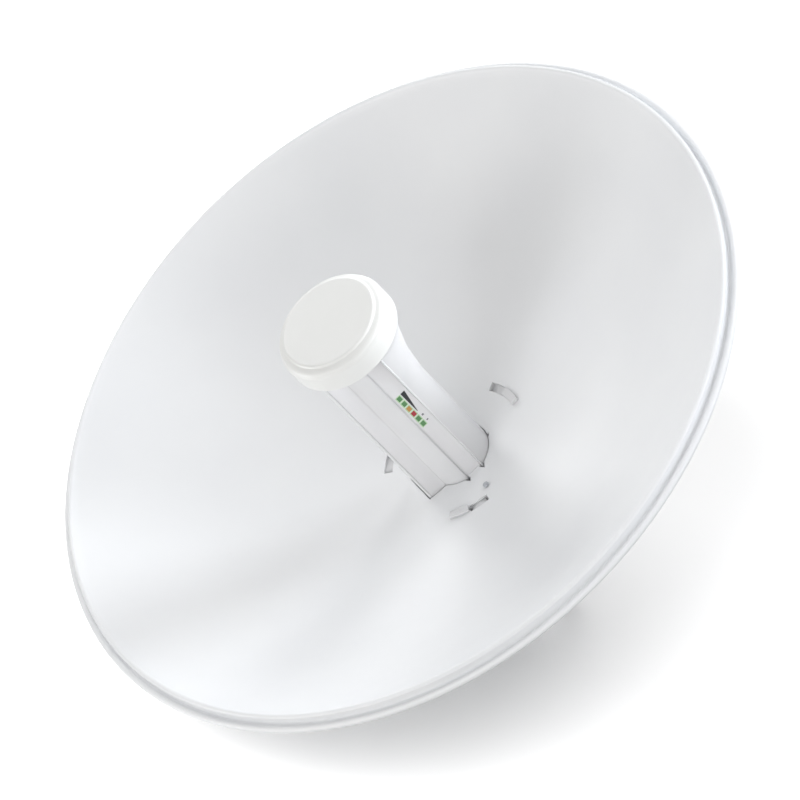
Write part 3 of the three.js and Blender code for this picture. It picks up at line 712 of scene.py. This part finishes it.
def make_labels():
    panel = sheet_on_panel(
        "led_strip", (FACE_Y + PANEL_FROM, panel_high.y), (PANEL_Z[0] + 0.1, PANEL_Z[1] - 0.1),
        PANEL_X + 0.02, 0.35, 0.8, MATERIALS["label"],
    )
    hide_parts("led_label")
    side = sheet_on_panel(
        "side_film", (side_low.y, side_high.y), (WING_Z + 1.6, -16.0),
        WING_X - 0.43, 0.28, 0.6, MATERIALS["label"],
    )
    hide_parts("side_label")
    top = PANEL_X + 0.37
    colours = ["green", "green", "orange", "red", "green", "green"]
    for i, colour in enumerate(colours):
        y = FACE_Y + LAMP_FIRST + LAMP_PITCH * i
        sheet_on_panel(
            f"lamp_frame_{i + 1}", (y - FRAME_HALF, y + FRAME_HALF), (-3.35, 0.15),
            top, 0.06, 0.3, INKS["pale_green"],
        )
        sheet_on_panel(
            f"lamp_{i + 1}", (y - LAMP_HALF, y + LAMP_HALF), (-2.8, -0.4),
            top + 0.07, 0.08, 0.25, INKS[colour],
        )
    wedge_from, wedge_to = FACE_Y + 58.3, FACE_Y + 76
    wedge = prism(
        "signal_wedge", [(wedge_from, 0.55), (wedge_to, 0.75), (wedge_to, 1.05), (wedge_from, 3.4)],
        "x", top, top + 0.08,
    )
    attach(dress(wedge, "label", INKS["dark"]), "feed")
    for i, width in enumerate((1.4, 1.0)):
        y = FACE_Y + 80.5 + LAMP_PITCH * i
        sheet_on_panel(
            f"mark_{i + 1}", (y - width / 2, y + width / 2), (1.0, 2.2), top, 0.06, 0.3, INKS["grey"],
        )


# ------------------------------------------------------------------ stage and light
# The floor: its normal, its place along that normal, its half size in metres, its paint, and the range of
# the Layer Weight over which it fades when it is seen edge-on.
FLOOR_UP = Vector((0, -0.81, 0.586)).normalized()
FLOOR_LEVEL = -0.036
FLOOR_HALF = 6.0
FLOOR_COLOUR = (0.9, 0.9, 0.9, 1)
FLOOR_ROUGHNESS = 0.9
EDGE_ON = (0.58, 0.83)


def make_stage():
    """A pale floor under the leaning dish, clear when it is seen from behind or edge-on."""
    mesh = bpy.data.meshes.new("floor")
    side = FLOOR_UP.orthogonal().normalized()
    other = FLOOR_UP.cross(side)
    corners = [
        FLOOR_UP * FLOOR_LEVEL + FLOOR_HALF * (a * side + b * other)
        for a, b in ((-1, -1), (1, -1), (1, 1), (-1, 1))
    ]
    mesh.from_pydata(corners, [], [(0, 1, 2, 3)])
    floor = new_object("floor", mesh)
    material = bpy.data.materials.new("floor")
    material.use_nodes = True
    tree = material.node_tree
    paint = tree.nodes["Principled BSDF"]
    paint.inputs["Base Color"].default_value = FLOOR_COLOUR
    paint.inputs["Roughness"].default_value = FLOOR_ROUGHNESS
    clear = tree.nodes.new("ShaderNodeBsdfTransparent")
    mix = tree.nodes.new("ShaderNodeMixShader")
    behind = tree.nodes.new("ShaderNodeNewGeometry").outputs["Backfacing"]
    weight = tree.nodes.new("ShaderNodeLayerWeight")
    weight.inputs["Blend"].default_value = 0.5
    edge_on = tree.nodes.new("ShaderNodeMapRange")
    edge_on.inputs["From Min"].default_value = EDGE_ON[0]
    edge_on.inputs["From Max"].default_value = EDGE_ON[1]
    either = tree.nodes.new("ShaderNodeMath")
    either.operation = "MAXIMUM"
    tree.links.new(weight.outputs["Facing"], edge_on.inputs["Value"])
    tree.links.new(edge_on.outputs["Result"], either.inputs[0])
    tree.links.new(behind, either.inputs[1])
    tree.links.new(either.outputs[0], mix.inputs["Fac"])
    tree.links.new(paint.outputs[0], mix.inputs[1])
    tree.links.new(clear.outputs[0], mix.inputs[2])
    tree.links.new(mix.outputs[0], tree.nodes["Material Output"].inputs["Surface"])
    mesh.materials.append(material)
    floor.visible_shadow = False
    floor.visible_diffuse = False
    floor.visible_glossy = False
    return floor


# Each lamp: its direction from the dish as the picture's right, up and toward the camera, its size
# in metres, its power in watts and its colour. The directions and powers of the first eleven in LIGHTS are
# the rounded output of a least-squares fit to the photo's tones. The last two were set one by one.
LAMP_DISTANCE = 3.0
LAMP_TARGET = Vector((0, -0.12, 0))
WORLD_STRENGTH = 0.27
NEUTRAL = (1, 1, 1)
COOL = (0.91, 0.95, 1)
WARM = (1, 0.94, 0.88)
LIGHTS = [
    ((0.6, 0.78, 0.2), 1.1, 34, COOL),  # key, above right
    ((0.15, 1, 0), 1.3, 22, NEUTRAL),  # overhead
    ((-0.65, 0.67, -0.37), 1.3, 22, NEUTRAL),  # above left
    ((-0.3, 0.8, -0.5), 1.3, 14, NEUTRAL),  # above and behind
    ((0.86, 0.22, 0.45), 1.3, 33, COOL),  # right
    ((-0.75, 0.4, 0.5), 1.3, 10, NEUTRAL),  # left
    ((-0.8, -0.57, -0.2), 1.3, 24, NEUTRAL),  # low left
    ((-0.67, -0.5, 0.55), 1.3, 15, NEUTRAL),  # low left front
    ((-0.5, -0.3, 0.8), 1.3, 16, NEUTRAL),  # front left
    ((0, -0.4, 0.9), 1.3, 11, WARM),  # front
    ((0.37, -0.2, 0.9), 1.3, 9, NEUTRAL),  # front right
    ((0.52, 0.18, -0.91), 1.8, 45, NEUTRAL),  # behind, on the dish's back
    ((-0.2, -0.35, -0.9), 1.8, 25, NEUTRAL),  # behind and below
]
# Reaches the tube and the cap only.
FEED_LIGHTS = [
    ((0.71, 0.7, 0.05), 1.3, 36, NEUTRAL),
]
# Reach the floor only.
FLOOR_LIGHTS = [
    ((-0.5, 0.3, 1), 2.8, 192, NEUTRAL),
    ((0.2, 0.3, 1), 2.4, 56, NEUTRAL),
    ((0, 1, 0.2), 2.6, 46, NEUTRAL),
]


def area_light(name, direction, size, power, color, receivers):
    data = bpy.data.lights.new(name, "AREA")
    data.shape = "DISK"
    data.size = size
    data.energy = power
    data.color = color
    light = bpy.data.objects.new(name, data)
    way = (view_turn @ Vector(direction)).normalized()
    light.location = way * LAMP_DISTANCE + LAMP_TARGET
    light.rotation_euler = way.to_track_quat("Z", "Y").to_euler()
    light.light_linking.receiver_collection = receivers
    scene.collection.objects.link(light)


def make_light(floor):
    """Soft lamps on the object, one more on the feed, and the floor's own lamps, which the dish shades."""
    world = bpy.data.worlds.new("world")
    world.use_nodes = True
    tree = world.node_tree
    lit = tree.nodes["Background"]
    lit.inputs["Color"].default_value = (1, 1, 1, 1)
    lit.inputs["Strength"].default_value = WORLD_STRENGTH
    seen = tree.nodes.new("ShaderNodeBackground")
    seen.inputs["Color"].default_value = (1, 1, 1, 1)
    mix = tree.nodes.new("ShaderNodeMixShader")
    tree.links.new(tree.nodes.new("ShaderNodeLightPath").outputs["Is Camera Ray"], mix.inputs["Fac"])
    tree.links.new(lit.outputs[0], mix.inputs[1])
    tree.links.new(seen.outputs[0], mix.inputs[2])
    tree.links.new(mix.outputs[0], tree.nodes["World Output"].inputs["Surface"])
    scene.world = world
    floor_only = bpy.data.collections.new("floor_only")
    floor_only.objects.link(floor)
    dish_only = bpy.data.collections.new("dish_only")
    for piece in scene.objects:
        if piece.type == "MESH" and piece != floor:
            dish_only.objects.link(piece)
    feed_only = bpy.data.collections.new("feed_only")
    for piece in (bpy.data.objects["feed_tube"], bpy.data.objects["cap"]):
        feed_only.objects.link(piece)
    for i, (direction, size, power, color) in enumerate(LIGHTS):
        area_light(f"lamp_{i + 1}", direction, size, power, color, dish_only)
    for i, (direction, size, power, color) in enumerate(FEED_LIGHTS):
        area_light(f"feed_lamp_{i + 1}", direction, size, power, color, feed_only)
    for i, (direction, size, power, color) in enumerate(FLOOR_LIGHTS):
        area_light(f"floor_lamp_{i + 1}", direction, size, power, color, floor_only)


make_dish()
make_feed_tube()
make_cap()
make_labels()

make_housing()
for node in ("tilt_bracket", "mast_clamp", "release_yoke", "release_button", "port_cover"):
    finer(node, LARGE_EDGE)
for node in (
    "worm_housing", "worm_screw", "pivot_bolt", "pivot_nut", "lock_bolt", "wing_nut", "clamp_band",
    "feed_end_cap", "cable_grommet", "lock_screw_right", "lock_screw_left",
    "bracket_screw_upper_right", "bracket_screw_upper_left", "bracket_screw_lower_right",
    "bracket_screw_lower_left", "pivot_washer", "lock_washer",
):
    finer(node, SMALL_EDGE)
spring = finer("release_spring", SPRING_EDGE, 1)
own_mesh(spring)
for node, piece in list(frame["nodes"].items()):
    if not piece.hide_render:
        finer(node, FINE_EDGE, 1)

make_light(make_stage())
